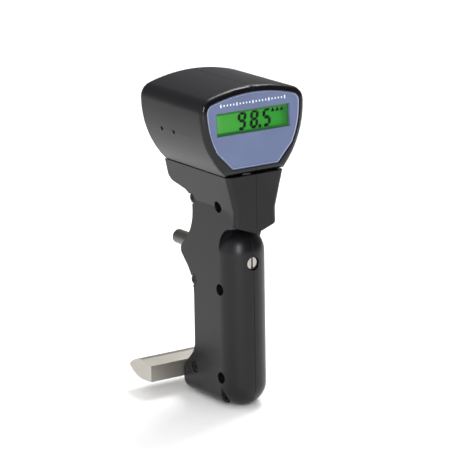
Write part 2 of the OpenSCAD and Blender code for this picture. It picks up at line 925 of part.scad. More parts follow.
module frame() {
    fork_z = [well_rows[2] - 4.2, well_rows[2] + 2.6];
    color([0.62, 0.62, 0.64]) difference() {
        union() {
            // front spine with the blocks of the foot and of the pivot
            plate(-clamp_x, clamp_x) polygon([[-4.5, 5.5], [frame_back, 5.5], [frame_back, 19.5],
                [8, 21], [4, 27], [4, 56], [10, 60], [frame_back, 60], [frame_back, 70],
                [-8.5, 70], [-8.5, 11]]);
            box([-9, 6, 5.6], [9, frame_back, 19.5]);
            box([-8.5, 5, 62], [8.5, frame_back, 80]);
            // rear spine behind the lever, the fork round it, and the flange under the head
            box([-clamp_x, spine_y[0], 84], [clamp_x, spine_y[1], frame_top - 1]);
            box([-clamp_x, -3.5, fork_z[0]], [clamp_x, spine_y[1], fork_z[1]]);
            box([-10, spine_y[0], frame_top - 3.4], [10, 41, frame_top]);
            plate(-3.4, 3.4) polygon([[spine_y[1] - 1, 115], [38, frame_top - 3], [spine_y[1] - 1, frame_top - 3]]);
            // adjuster boss and spring barrel
            translate([0, 0, axis_z]) {
                rod_y(6.5, -8.5, 0);
                rod_y(barrel_r, -3, barrel_end);
            }
        }
        translate([0, 0, axis_z]) {
            rod_y(adjuster_r + fit, -9, 10);
            rod_y(spring_bore, -4.4, collar_y + 2.6);
            rod_y(plunger_d / 2 + 0.3, 0, barrel_end + 1);
            rod_y(sleeve_thread_r, slot_y[1] + 1.1, barrel_end + 1);
        }
        // lever slot in the barrel, and the gap in the fork
        box([-4.7, slot_y[0], 62.9], [4.7, slot_y[1], 92]);
        box([-2.2, 5.5, fork_z[0] - 1], [2.2, spine_y[0], fork_z[1] + 1]);
        translate([0, pivot_y, pivot_z]) rod_x(pivot_r, -20, 20);
        // socket for the stem and its two clamping screws
        box([-stem_half, 8, stem_low], [stem_half, 23, stem_high]);
        for (y = leg_screw_y)
            translate([0, y, stem_high - 1]) cylinder(r = leg_screw_r, h = 10);
        for (p = neck_screw_at)
            translate([p[0], p[1], frame_top - 5]) cylinder(r = screw_d / 2, h = 8);
        at_front_wells() rod_x(screw_d / 2 + 0.1, -12, 12);
        for (p = bracket_screw)
            translate([0, p[0], p[1]]) rod_x(small_screw_r, 0, 9);
    }
}

// ---------------------------------------------------------------- foot

module foot_outline() {
    // two arcs that meet in the edge, and a tapering back
    nose = 13.8;
    nose_r = (nose * nose + foot_half * foot_half) / (2 * foot_half);
    shoulder = sleeve_end - nose;
    intersection() {
        translate([shoulder, foot_tip_z + foot_half - nose_r]) circle(r = nose_r, $fn = 96);
        translate([shoulder, foot_tip_z - foot_half + nose_r]) circle(r = nose_r, $fn = 96);
        translate([shoulder, foot_tip_z - foot_half]) square([nose - 0.05, 2 * foot_half]);
    }
    polygon([[shoulder + e, foot_tip_z - foot_half], [shoulder + e, foot_tip_z + foot_half],
        [foot_front_y, foot_tip_z + foot_half - 1.7], [foot_front_y, foot_tip_z - foot_half + 0.4]]);
}

module leg() {
    color(steel) difference() {
        union() {
            plate(-foot_w / 2, foot_w / 2) foot_outline();
            box([-stem_half, 8.2, stem_low], [stem_half, foot_front_y + 1, stem_high]);
        }
        for (y = leg_screw_y)
            translate([0, y, stem_high - 1]) cylinder(r = leg_screw_r, h = 3);
    }
}

module leg_screws() {
    color(dark_steel)
        for (y = leg_screw_y)
            translate([0, y, stem_high - 1]) difference() {
                cylinder(r = leg_screw_r, h = 5.4);
                translate([0, 0, 3.6]) cylinder(r = 1.15, h = 3, $fn = 6);
            }
}

// ---------------------------------------------------------------- indenter, spring and sleeve

module on_axis() {
    translate([0, 0, axis_z]) children();
}

point_d = 3;

module point_sleeve() {
    color(dark_steel) on_axis() difference() {
        union() {
            // threaded part in the frame, then the plain free end
            rod_y(sleeve_thread_r, slot_y[1] + 1.1, sleeve_end - 15);
            rod_y(sleeve_d / 2, sleeve_end - 15, sleeve_end);
        }
        rod_y(plunger_d / 2 + fit, 20, sleeve_end - 4);
        rod_y(point_d / 2 + fit, sleeve_end - 5, sleeve_end + 1);
    }
}

module sleeve_lock_nut() {
    color(dark_steel) on_axis() difference() {
        translate([0, barrel_end + 3, 0]) rotate([90, 0, 0]) cylinder(r = 6.9, h = 3, $fn = 6);
        rod_y(sleeve_thread_r, barrel_end - 1, barrel_end + 4);
    }
}

pad_y = 14.75;
pad_r = 1.2;

module plunger() {
    color(steel) on_axis() difference() {
        union() {
            rod_y(2.6, -0.6, collar_y);
            rod_y(spring_bore - fit, collar_y, collar_y + 1.8);
            rod_y(plunger_d / 2, collar_y, sleeve_end - 5);
            // ring that pushes the lever, and stops on the end of the lever slot
            rod_y(3.9, pad_y + pad_r + 0.05, slot_y[1] - 0.05);
        }
        rod_y(1.2, sleeve_end - 11, sleeve_end - 4);
    }
}

module indenter() {
    tip = sleeve_end + travel;
    cone = 1.6;
    color([0.5, 0.5, 0.52]) on_axis() {
        rod_y(1.2, sleeve_end - 11, sleeve_end - 5 + e);
        rod_y(point_d / 2, sleeve_end - 5, tip - cone);
        // cone of 26 degrees with a small flat end
        translate([0, tip - cone - e, 0]) rotate([-90, 0, 0])
            cylinder(r1 = cone * tan(13) + 0.08, r2 = 0.08, h = cone + e);
    }
}

module load_spring() {
    length = collar_y + 3.8;
    mean_r = 3.7;
    wire_r = 0.5;
    turns = 6;
    color(steel) on_axis() translate([0, collar_y, 0]) rotate([90, 0, 0]) {
        linear_extrude(height = length - 1.2, twist = 360 * turns, slices = 16 * turns, $fn = 8)
            translate([mean_r, 0]) circle(r = wire_r, $fn = 8);
        // ground end coil against the adjuster
        translate([0, 0, length - 1.2]) difference() {
            cylinder(r = mean_r + wire_r, h = 1.1);
            translate([0, 0, -1]) cylinder(r = mean_r - wire_r, h = 3);
        }
    }
}

module load_adjuster() {
    color(steel) on_axis() difference() {
        rod_y(adjuster_r, -11.4, -4);
        box([-0.6, -12, -4], [0.6, -9.8, 4]);
        rod_y(1.4, -5.5, -3.9);
    }
}

// ---------------------------------------------------------------- lever

module lever() {
    prong = [2.85, 4.4];
    pad_half = 4.4;
    color([0.78, 0.66, 0.36]) difference() {
        union() {
            for (s = [-1, 1])
                plate(s < 0 ? -prong[1] : prong[0], s < 0 ? -prong[0] : prong[1])
                    polygon([[9.6, pivot_z], [14.4, pivot_z], [14.4, axis_z + 14], [9.6, axis_z + 14]]);
            translate([0, pivot_y, pivot_z]) rod_x(3.1, -pad_half, pad_half);
            box([-prong[1], 9.6, axis_z + 11], [prong[1], 14.4, axis_z + 14]);
            box([-1.5, 9.6, axis_z + 13], [1.5, 14.4, sensor_z + 3]);
            for (s = [-1, 1])
                translate([0, pad_y, axis_z]) rod_x(pad_r, s < 0 ? -prong[1] : prong[0], s < 0 ? -prong[0] : prong[1]);
        }
        translate([0, pivot_y, pivot_z]) rod_x(pivot_r + fit, -20, 20);
    }
}

module fulcrum_pin() {
    color(dark_steel) translate([0, pivot_y, pivot_z]) rod_x(pivot_r, -8.5, 8.5);
}

// ---------------------------------------------------------------- displacement sensor

sensor_r = 4;
spindle_r = 1.5;

module at_sensor() {
    translate([0, 0, sensor_z]) children();
}

module sensor_body() {
    color(steel) at_sensor() difference() {
        rod_y(sensor_r, -12, 3);
        rod_y(spindle_r + fit, -5, 4);
        rod_y(2.6, -10, -4.5);
    }
}

module sensor_spindle() {
    color(dark_steel) at_sensor() {
        rod_y(spindle_r, -5, 8.4);
        rod_y(2.4, -6, -4.9);
        translate([0, 8, 0]) sphere(r = spindle_r);
    }
}

module sensor_bracket() {
    ring_y = [-7, -2.2];
    color([0.62, 0.62, 0.64]) difference() {
        union() {
            box([clamp_x, ring_y[0], sensor_z - 2.5], [clamp_x + 2, spine_y[1] - 0.2, frame_top - 3.7]);
            at_sensor() {
                rod_y(sensor_r + 0.95, ring_y[0], ring_y[1]);
                box([3, ring_y[0], -2], [clamp_x + 1, ring_y[1], 2]);
            }
        }
        at_sensor() rod_y(sensor_r, -9, 4);
        for (p = bracket_screw)
            translate([0, p[0], p[1]]) rod_x(small_screw_r + 0.1, 4, 9);
    }
}

module sensor_screws() {
    color(steel)
        for (p = bracket_screw)
            translate([clamp_x + 2, p[0], p[1]]) {
                rod_x(small_screw_r, -5.8, 0);
                rod_x(1.4, 0, 1);
            }
}

// Flat cable from the sensor through the floor of the head to the main board
module sensor_ribbon() {
    thick = 0.6;
    wide = 5;
    front = -7.6;
    level = head_z + wall + 0.8;
    side = mboard_x + board_t;
    color([0.75, 0.75, 0.72]) {
        box([-wide / 2, front, sensor_z + sensor_r], [wide / 2, front + thick, level + thick]);
        box([side, front, level], [wide / 2, front + wide, level + thick]);
        box([side, front, level], [side + wide, 19, level + thick]);
        box([side, 19 - wide, level], [side + thick, 19, head_z + 8.5]);
    }
}

// ---------------------------------------------------------------- one piece at a time

head_left();
head_right();
handle_left();
handle_right();
display_panel();
lcd_window();
lcd_cell();
lcd_holder();
backlight();
zebra_strips();
display_board();
display_chips();
display_board_screws();
main_board();
main_chips();
main_board_screws();
board_header();
zero_trimmer();
span_trimmer();
zero_screw();
span_screw();
button_board();
button_board_screws();
tact_switches();
power_button();
hold_button();
battery_tray();
battery_contacts();
battery_cells();
battery_door();
head_case_screws();
neck_screws();
case_screws();
frame();
leg();
leg_screws();
point_sleeve();
sleeve_lock_nut();
plunger();
indenter();
load_spring();
load_adjuster();
lever();
fulcrum_pin();
sensor_body();
sensor_spindle();
sensor_bracket();
sensor_screws();
sensor_ribbon();
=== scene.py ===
# %% [markdown]
# # The looks of a hand-held hardness tester
#
# The CAD part already has every size, place and joint. This script dresses it: each visible
# piece gets a smooth skin, a procedural material and its fine details (printing, digits, cross
# slots, thread). Nothing of the CAD part is moved, and no size is typed in twice: places are
# measured from the CAD nodes.

import json
import math

import bmesh
import bpy
import numpy as np
from mathutils import Matrix, Vector


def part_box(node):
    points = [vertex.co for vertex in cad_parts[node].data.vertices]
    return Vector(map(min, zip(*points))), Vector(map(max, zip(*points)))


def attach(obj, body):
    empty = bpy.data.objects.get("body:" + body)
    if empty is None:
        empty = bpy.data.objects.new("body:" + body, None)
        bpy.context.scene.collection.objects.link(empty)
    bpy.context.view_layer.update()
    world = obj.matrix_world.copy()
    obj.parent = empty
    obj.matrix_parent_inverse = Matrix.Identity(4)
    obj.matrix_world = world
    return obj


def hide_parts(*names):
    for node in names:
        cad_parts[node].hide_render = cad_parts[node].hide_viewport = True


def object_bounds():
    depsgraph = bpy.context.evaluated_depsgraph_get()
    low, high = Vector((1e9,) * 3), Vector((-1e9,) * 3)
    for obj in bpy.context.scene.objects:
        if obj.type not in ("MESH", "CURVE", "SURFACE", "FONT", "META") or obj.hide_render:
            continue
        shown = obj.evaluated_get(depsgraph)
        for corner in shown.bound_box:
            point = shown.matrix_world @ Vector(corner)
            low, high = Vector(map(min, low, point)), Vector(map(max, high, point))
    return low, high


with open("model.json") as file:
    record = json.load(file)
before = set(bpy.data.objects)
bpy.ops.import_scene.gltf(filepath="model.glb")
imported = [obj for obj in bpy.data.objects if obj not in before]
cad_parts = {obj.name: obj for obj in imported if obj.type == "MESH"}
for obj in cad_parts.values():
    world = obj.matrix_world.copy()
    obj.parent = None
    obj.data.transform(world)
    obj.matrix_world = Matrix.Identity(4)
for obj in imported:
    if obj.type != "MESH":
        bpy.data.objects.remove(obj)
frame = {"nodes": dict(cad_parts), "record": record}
start_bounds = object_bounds()
scene = bpy.context.scene
mm = 0.001
body_of_node = {
    node: body
    for body, nodes in frame["record"]["behaviour"]["bodies"].items()
    for node in nodes
}
slot_of_node = {
    entry["node"]: entry["material_slot"] for entry in frame["record"]["subparts"]
}

# %% [markdown]
# ## Measuring the CAD part
#
# The face of the display is a tilted plane. Its place and its outlines (the outer one and the
# one of the window) are read from the front faces of the panel, so the printing follows them.


# %% Front plane and outlines of a node
def front_faces(bm):
    """The faces of the frontmost flat side of a mesh, and that side's normal."""
    front = min(
        (f for f in bm.faces if f.normal.y < -0.9),
        key=lambda f: f.normal.y * f.calc_area(),
    )
    depth = front.normal.dot(front.verts[0].co)
    faces = [
        f
        for f in bm.faces
        if f.normal.dot(front.normal) > 0.9999
        and abs(f.normal.dot(f.verts[0].co) - depth) < 0.02 * mm
    ]
    return faces, front.normal.copy()


def outlines(node):
    """Plane matrix of a node's front side, and its outlines in that plane, longest first."""
    bm = bmesh.new()
    bm.from_mesh(frame["nodes"][node].data)
    bmesh.ops.remove_doubles(bm, verts=bm.verts, dist=0.01 * mm)
    bm.normal_update()
    faces, normal = front_faces(bm)
    chosen = set(faces)
    ahead = {}
    for face in faces:
        for loop in face.loops:
            if sum(f in chosen for f in loop.edge.link_faces) == 1:
                ahead[loop.vert.index] = loop.link_loop_next.vert.index
    bm.verts.ensure_lookup_table()
    right = Vector((1, 0, 0))
    up = normal.cross(right).normalized()
    if up.z < 0:
        up.negate()
    low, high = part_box(node)
    centre = Vector(((low.x + high.x) / 2, 0, (low.z + high.z) / 2))
    depth = normal.dot(bm.verts[next(iter(ahead))].co)
    centre += normal * (depth - normal.dot(centre))
    plane = Matrix(
        (
            (right.x, up.x, normal.x, centre.x),
            (right.y, up.y, normal.y, centre.y),
            (right.z, up.z, normal.z, centre.z),
            (0, 0, 0, 1),
        )
    )
    inverse = plane.inverted()
    loops = []
    while ahead:
        start, here = ahead.popitem()
        loop = [start]
        while here != start:
            loop.append(here)
            here = ahead.pop(here)
        points = [inverse @ bm.verts[i].co for i in loop]
        loops.append(np.array([(p.x, p.y) for p in points]))
    bm.free()
    loops.sort(key=lambda points: -np.ptp(points[:, 0]))
    return plane, loops


face_plane, panel_loops = outlines("display_panel")
cell_plane, cell_loops = outlines("lcd_cell")
window_loop = panel_loops[1]
print("panel outlines", [len(points) for points in panel_loops])
print("window size mm", (np.ptp(window_loop, axis=0) / mm).round(2))

# %% [markdown]
# ## Materials
#
# All finishes are made by the same tree. Its parts are: a colour that varies slowly, a fine
# grain that also drives the bump, rounded edges from the Bevel node, and wear that follows
# those edges. Metals add a stretched noise for the marks of brushing or turning.


# %% One tree for every finish
def linear(red, green, blue):
    """Linear colour of a colour given as display values from 0 to 255."""
    return tuple(
        c / 12.92 if c <= 0.04045 else ((c + 0.055) / 1.055) ** 2.4
        for c in (red / 255, green / 255, blue / 255)
    )


class Tree:
    """Short calls for building a node tree."""

    def __init__(self, tree):
        self.tree = tree

    def add(self, kind, inputs=None, **settings):
        node = self.tree.nodes.new(kind)
        for name, value in settings.items():
            setattr(node, name, value)
        for key, value in (inputs or {}).items():
            if isinstance(value, bpy.types.NodeSocket):
                self.tree.links.new(value, node.inputs[key])
            else:
                node.inputs[key].default_value = value
        return node

    def mix(self, amount, first, second):
        node = self.add("ShaderNodeMix", data_type="RGBA")
        for index, value in ((0, amount), (6, first), (7, second)):
            if isinstance(value, bpy.types.NodeSocket):
                self.tree.links.new(value, node.inputs[index])
            else:
                node.inputs[index].default_value = (
                    value if index == 0 else (*value[:3], 1)
                )
        return node.outputs[2]

    def ramp(self, value, low, high, out_low=0.0, out_high=1.0):
        return self.add(
            "ShaderNodeMapRange",
            {0: value, 1: low, 2: high, 3: out_low, 4: out_high},
        ).outputs[0]

    def maths(self, operation, *values):
        node = self.add("ShaderNodeMath", operation=operation)
        for index, value in enumerate(values):
            if isinstance(value, bpy.types.NodeSocket):
                self.tree.links.new(value, node.inputs[index])
            else:
                node.inputs[index].default_value = value
        return node.outputs[0]


def finish_material(
    name,
    colour,
    roughness,
    metallic=0.0,
    vary=0.12,
    grain_mm=0.35,
    bump_mm=0.006,
    edge_mm=0.3,
    wear=0.25,
    wear_colour=None,
    stretch=(1, 1, 1),
    specular=0.5,
    gloss=None,
):
    """A procedural finish. gloss = (plane matrix, lowest z, depth, roughness) polishes a front face."""
    material = bpy.data.materials.new(name)
    material.use_nodes = True
    tree = Tree(material.node_tree)
    material.node_tree.nodes.clear()
    place = tree.add("ShaderNodeTexCoord").outputs["Object"]
    stretched = tree.add(
        "ShaderNodeMapping", {"Vector": place, "Scale": stretch}
    ).outputs[0]
    cloud = tree.add(
        "ShaderNodeTexNoise", {"Vector": place, "Scale": 70.0, "Detail": 3.0}
    ).outputs["Fac"]
    grain = tree.add(
        "ShaderNodeTexNoise",
        {"Vector": stretched, "Scale": 1 / (grain_mm * mm), "Detail": 2.0},
    ).outputs["Fac"]
    edge = tree.add(
        "ShaderNodeBevel", {"Radius": edge_mm * mm}, samples=6
    ).outputs[0]
    flat = tree.add("ShaderNodeNewGeometry").outputs["Normal"]
    bend = tree.add(
        "ShaderNodeVectorMath", {0: edge, 1: flat}, operation="DOT_PRODUCT"
    ).outputs["Value"]
    worn = tree.ramp(bend, 0.985, 0.85, 0.0, wear)
    worn = tree.maths("MULTIPLY", worn, tree.ramp(cloud, 0.35, 0.6))
    lighter = tuple(min(1, c * (1 + vary)) for c in colour)
    darker = tuple(c * (1 - vary) for c in colour)
    base = tree.mix(tree.ramp(cloud, 0.35, 0.65), darker, lighter)
    base = tree.mix(
        worn, base, wear_colour or tuple(min(1, c * 1.8 + 0.01) for c in colour)
    )
    rough = tree.ramp(grain, 0.3, 0.7, roughness * 0.88, min(1, roughness * 1.12))
    if gloss:
        plane, low_z, depth, polished = gloss
        normal = plane.col[2].xyz
        away = tree.add(
            "ShaderNodeVectorMath",
            {
                0: tree.add(
                    "ShaderNodeVectorMath",
                    {0: place, 1: plane.col[3].xyz},
                    operation="SUBTRACT",
                ).outputs[0],
                1: normal,
            },
            operation="DOT_PRODUCT",
        ).outputs["Value"]
        height = tree.add("ShaderNodeSeparateXYZ", {0: place}).outputs["Z"]
        mask = tree.maths(
            "MULTIPLY",
            tree.maths("GREATER_THAN", away, -depth),
            tree.maths("GREATER_THAN", height, low_z),
        )
        shine = tree.add("ShaderNodeMix", data_type="FLOAT")
        material.node_tree.links.new(mask, shine.inputs[0])
        material.node_tree.links.new(rough, shine.inputs[2])
        shine.inputs[3].default_value = polished
        rough = shine.outputs[0]
    relief = tree.add(
        "ShaderNodeBump",
        {"Height": grain, "Normal": edge, "Strength": 0.6, "Distance": bump_mm * mm},
    ).outputs[0]
    shader = tree.add(
        "ShaderNodeBsdfPrincipled",
        {
            "Base Color": base,
            "Roughness": rough,
            "Normal": relief,
            "Metallic": metallic,
            "Specular IOR Level": specular,
        },
    )
    tree.add("ShaderNodeOutputMaterial", {"Surface": shader.outputs[0]})
    return material


# %% [markdown]
# The black case is one moulding compound, finely grained on the sides and polished on the
# bezel. The light of the display and its clear window need trees of their own.

# %% Finishes by material slot
head_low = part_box("head_left")[0]
bezel_gloss = (face_plane, head_low.z + 5 * mm, 0.4 * mm, 0.16)
black = linear(12, 11, 14)
finishes = {
    "case": finish_material(
        "case", black, 0.36, vary=0.1, grain_mm=0.28, bump_mm=0.005, wear=0.3,
        specular=0.32, gloss=bezel_gloss,
    ),
    "panel": finish_material(
        "panel", linear(88, 99, 130), 0.42, vary=0.05, grain_mm=0.12, bump_mm=0.002,
        edge_mm=0.15, specular=0.4,
    ),
    "black_part": finish_material("black_part", linear(30, 30, 32), 0.5),
    "light_guide": finish_material("light_guide", linear(215, 225, 205), 0.3),
    "zebra": finish_material("zebra", linear(180, 130, 145), 0.6),
    "board": finish_material("board", linear(22, 88, 52), 0.35, vary=0.2, grain_mm=0.8),
    "trimmer": finish_material("trimmer", linear(40, 80, 160), 0.35, edge_mm=0.15),
    "brass": finish_material(
        "brass", linear(205, 175, 100), 0.3, metallic=1.0, edge_mm=0.1, stretch=(8, 1, 1)
    ),
    "switch": finish_material("switch", linear(60, 60, 62), 0.45, edge_mm=0.15),
    "button": finish_material(
        "button", linear(58, 57, 62), 0.42, edge_mm=0.4, bump_mm=0.01, wear=0.5
    ),
    "contact": finish_material(
        "contact", linear(200, 198, 190), 0.28, metallic=1.0, edge_mm=0.1
    ),
    "cell": finish_material("cell", linear(176, 142, 64), 0.28, metallic=0.6),
    "screw_dark": finish_material(
        "screw_dark", linear(34, 33, 34), 0.38, metallic=0.7, edge_mm=0.12, wear=0.5,
        wear_colour=linear(110, 108, 105),
    ),
    "screw_bright": finish_material(
        "screw_bright", linear(196, 195, 190), 0.25, metallic=1.0, edge_mm=0.12
    ),
    "casting": finish_material(
        "casting", linear(168, 168, 170), 0.55, metallic=0.9, grain_mm=0.6, bump_mm=0.05
    ),
    "nickel": finish_material(
        "nickel", linear(172, 168, 160), 0.36, metallic=0.85, vary=0.04, grain_mm=0.16,
        bump_mm=0.003, edge_mm=0.2, wear=0.5, wear_colour=linear(200, 197, 190),
        stretch=(0.05, 1, 1),
    ),
    "polished": finish_material(
        "polished", linear(172, 169, 163), 0.18, metallic=1.0, vary=0.04, grain_mm=0.1,
        bump_mm=0.001, edge_mm=0.15,
    ),
    "sleeve": finish_material(
        "sleeve", linear(104, 102, 98), 0.42, metallic=1.0, vary=0.1, grain_mm=0.2,
        bump_mm=0.004, edge_mm=0.15, wear=0.6, stretch=(1, 6, 1),
    ),
    "steel": finish_material(
        "steel", linear(190, 189, 187), 0.22, metallic=1.0, grain_mm=0.2, bump_mm=0.002,
        edge_mm=0.1, stretch=(1, 6, 1),
    ),
    "lever_brass": finish_material(
        "lever_brass", linear(212, 184, 110), 0.32, metallic=1.0
    ),
    "ribbon": finish_material("ribbon", linear(196, 196, 192), 0.5, vary=0.05),
    "border": finish_material(
        "border", linear(172, 178, 196), 0.35, vary=0.03, edge_mm=0.08, bump_mm=0.001
    ),
    "print": finish_material(
        "print", linear(226, 228, 234), 0.5, vary=0.03, edge_mm=0.02, bump_mm=0.001
    ),
    "digit": finish_material(
        "digit", linear(5, 20, 11), 0.6, vary=0.05, edge_mm=0.02, bump_mm=0.001,
        specular=0.1,
    ),
    "socket": finish_material(
        "socket", linear(14, 14, 15), 0.7, edge_mm=0.05, bump_mm=0.001
    ),
}


def display_light(low_x, high_x):
    """Green backlit display: bright at the left, and darker towards the right, where the last stop is
    painted shade of the window recess's inner wall.
    """
    material = bpy.data.materials.new("lcd")
    material.use_nodes = True
    tree = Tree(material.node_tree)
    material.node_tree.nodes.clear()
    place = tree.add("ShaderNodeTexCoord").outputs["Object"]
    across = tree.add("ShaderNodeSeparateXYZ", {0: place}).outputs["X"]
    share = tree.ramp(across, low_x, high_x)
    ramp = tree.add("ShaderNodeValToRGB", {0: share})
    stops = (
        (0.0, linear(98, 176, 92)),
        (0.12, linear(76, 166, 66)),
        (0.55, linear(50, 160, 44)),
        (0.9, linear(46, 150, 46)),
        # Painted shade: this darker last stop stands in for the shaded inner wall of the window recess.
        (1.0, linear(40, 118, 42)),
    )
    while len(ramp.color_ramp.elements) < len(stops):
        ramp.color_ramp.elements.new(0.5)
    for element, (at, colour) in zip(ramp.color_ramp.elements, stops):
        element.position = at
        element.color = (*colour, 1)
    cloud = tree.add(
        "ShaderNodeTexNoise", {"Vector": place, "Scale": 160.0, "Detail": 2.0}
    ).outputs["Fac"]
    strength = tree.ramp(cloud, 0.3, 0.7, 0.98, 1.1)
    shader = tree.add(
        "ShaderNodeBsdfPrincipled",
        {
            "Base Color": (*linear(8, 16, 8), 1),
            "Roughness": 0.4,
            "Specular IOR Level": 0.15,
            "Emission Color": ramp.outputs[0],
            "Emission Strength": strength,
        },
    )
    tree.add("ShaderNodeOutputMaterial", {"Surface": shader.outputs[0]})
    return material


def clear_window():
    """Clear plastic lens: lets light through and reflects a little, more at the edge of sight."""
    material = bpy.data.materials.new("window")
    material.use_nodes = True
    tree = Tree(material.node_tree)
    material.node_tree.nodes.clear()
    place = tree.add("ShaderNodeTexCoord").outputs["Object"]
    smear = tree.add(
        "ShaderNodeTexNoise", {"Vector": place, "Scale": 120.0, "Detail": 4.0}
    ).outputs["Fac"]
    gloss = tree.add(
        "ShaderNodeBsdfGlossy", {"Roughness": tree.ramp(smear, 0.3, 0.7, 0.05, 0.14)}
    ).outputs[0]
    clear = tree.add(
        "ShaderNodeBsdfTransparent", {"Color": (*linear(244, 250, 245), 1)}
    ).outputs[0]
    amount = tree.add("ShaderNodeFresnel", {"IOR": 1.18}).outputs[0]
    shader = tree.add("ShaderNodeMixShader", {0: amount, 1: clear, 2: gloss})
    tree.add("ShaderNodeOutputMaterial", {"Surface": shader.outputs[0]})
    return material


window_low = window_loop[:, 0].min()
window_high = window_loop[:, 0].max()
finishes["lcd"] = display_light(window_low, window_high)
finishes["window"] = clear_window()
# Painted light: the recess wall is no lamp; its green glow stands in for the display's light falling on
# it.
glow = finish_material("glow", linear(30, 80, 32), 0.4, edge_mm=0.05, bump_mm=0.001)
recess_painted_glow_shader = next(n for n in glow.node_tree.nodes if n.type == "BSDF_PRINCIPLED")
recess_painted_glow_shader.inputs["Emission Color"].default_value = (*linear(22, 84, 28), 1)
recess_painted_glow_shader.inputs["Emission Strength"].default_value = 0.8
finishes["glow"] = glow
print("finishes", len(finishes))

# %% [markdown]
# ## Skins
#
# A skin is a copy of a CAD node's mesh with its doubled points merged, smooth shading, sharp
# edges where two faces meet at an angle, and weighted normals so that flat faces stay flat.
# The nodes nobody sees keep the CAD mesh and only get the better finish.


# %% Skins of the visible nodes
def evaluated(obj, name, body, finish, hides=()):
    graph = bpy.context.evaluated_depsgraph_get()
    mesh = bpy.data.meshes.new_from_object(obj.evaluated_get(graph))
    bpy.data.objects.remove(obj)
    return declare(mesh, name, body, finish, hides)


def declare(mesh, name, body, finish, hides=()):
    """Makes the mesh a piece that rides on a body and takes the named finish."""
    mesh.name = name
    mesh.materials.clear()
    mesh.materials.append(finishes[finish])
    piece = bpy.data.objects.new(name, mesh)
    scene.collection.objects.link(piece)
    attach(piece, body)
    if hides:
        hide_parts(*hides)
    return piece


def skin(node, angle=32, bevel_mm=0.0, finish=None):
    """A smooth copy of a CAD node, which stands in for it."""
    mesh = frame["nodes"][node].data.copy()
    if "custom_normal" in mesh.attributes:
        mesh.attributes.remove(mesh.attributes["custom_normal"])
    bm = bmesh.new()
    bm.from_mesh(mesh)
    bmesh.ops.remove_doubles(bm, verts=bm.verts, dist=0.01 * mm)
    if bevel_mm:
        bmesh.ops.dissolve_limit(
            bm, angle_limit=math.radians(0.5), verts=bm.verts, edges=bm.edges
        )
    bm.to_mesh(mesh)
    bm.free()
    mesh.shade_smooth()
    mesh.set_sharp_from_angle(angle=math.radians(angle))
    obj = bpy.data.objects.new(node + "_work", mesh)
    scene.collection.objects.link(obj)
    if bevel_mm:
        bevel = obj.modifiers.new("Bevel", "BEVEL")
        bevel.width = bevel_mm * mm
        bevel.segments = 3
        bevel.limit_method = "ANGLE"
        bevel.angle_limit = math.radians(35)
        bevel.harden_normals = True
    weighted = obj.modifiers.new("WeightedNormal", "WEIGHTED_NORMAL")
    weighted.keep_sharp = True
    slot = slot_of_node[node]
    return evaluated(
        obj, node + "_skin", body_of_node[node], finish or slot, (node,)
    )


skins = [
    "head_left", "head_right", "handle_left", "handle_right", "display_panel",
    "battery_door", "power_button", "hold_button", "lcd_holder", "plunger", "indenter",
    "zero_screw", "span_screw", "sleeve_lock_nut", "frame", "battery_cells",
    "battery_tray", "leg_screws", "neck_screws",
]
for node in skins:
    skin(node)
skin("leg", bevel_mm=0.3)
skin("load_adjuster", bevel_mm=0.15, finish="polished")
for node, obj in frame["nodes"].items():
    for index in range(len(obj.data.materials)):
        obj.data.materials[index] = finishes[slot_of_node[node]]
print("skins", len(skins) + 2)

# %% [markdown]
# ## Printing on the display
#
# A pale border runs along the outline of the panel: Geometry Nodes sweep a flat profile along
# the outline curve. Above the window stands a plain scale of ticks, placed by instancing one
# bar on the points of a line, longer at each fifth.


# %% Geometry Nodes helpers
def geometry_tree(name, sockets):
    """A new geometry tree with the named inputs, and its input and output nodes."""
    tree = bpy.data.node_groups.new(name, "GeometryNodeTree")
    tree.interface.new_socket("Geometry", in_out="INPUT", socket_type="NodeSocketGeometry")
    for label, kind in sockets:
        tree.interface.new_socket(label, in_out="INPUT", socket_type=kind)
    tree.interface.new_socket("Geometry", in_out="OUTPUT", socket_type="NodeSocketGeometry")
    build = Tree(tree)
    source = tree.nodes.new("NodeGroupInput")
    return build, source.outputs


def close_tree(build, geometry, material):
    """Ends a tree: instances are made real and take the material."""
    real = build.add("GeometryNodeRealizeInstances", {"Geometry": geometry}).outputs[0]
    dressed = build.add(
        "GeometryNodeSetMaterial", {"Geometry": real, "Material": material}
    ).outputs[0]
    build.add("NodeGroupOutput", {0: dressed})


def run_tree(tree, mesh, values):
    """Runs a geometry tree on a mesh with its named inputs set, and returns the object."""
    obj = bpy.data.objects.new(tree.name + "_work", mesh)
    scene.collection.objects.link(obj)
    modifier = obj.modifiers.new("GeometryNodes", "NODES")
    modifier.node_group = tree
    for item in tree.interface.items_tree:
        if item.item_type == "SOCKET" and item.in_out == "INPUT" and item.name in values:
            modifier[item.identifier] = values[item.name]
    return obj


def edge_mesh(name, points, closed=True):
    """A mesh of edges only, through the points."""
    mesh = bpy.data.meshes.new(name)
    count = len(points)
    edges = [(k, (k + 1) % count) for k in range(count if closed else count - 1)]
    mesh.from_pydata([tuple(p) for p in points], edges, [])
    return mesh


# %% Border of the panel
def inset(points, distance):
    """A closed outline moved inwards, each corner along its bisector."""
    after = np.roll(points, -1, axis=0) - points
    after /= np.linalg.norm(after, axis=1)[:, None]
    before = np.roll(after, 1, axis=0)
    area = 0.5 * np.sum(
        points[:, 0] * np.roll(points[:, 1], -1) - points[:, 1] * np.roll(points[:, 0], -1)
    )
    turn = 1 if area > 0 else -1
    across = np.stack([-(after + before)[:, 1], (after + before)[:, 0]], axis=1) * turn
    across /= np.linalg.norm(across, axis=1)[:, None]
    side = np.stack([-after[:, 1], after[:, 0]], axis=1) * turn
    stretch = 1 / np.maximum(0.5, np.sum(across * side, axis=1))
    return points + across * (distance * stretch)[:, None]


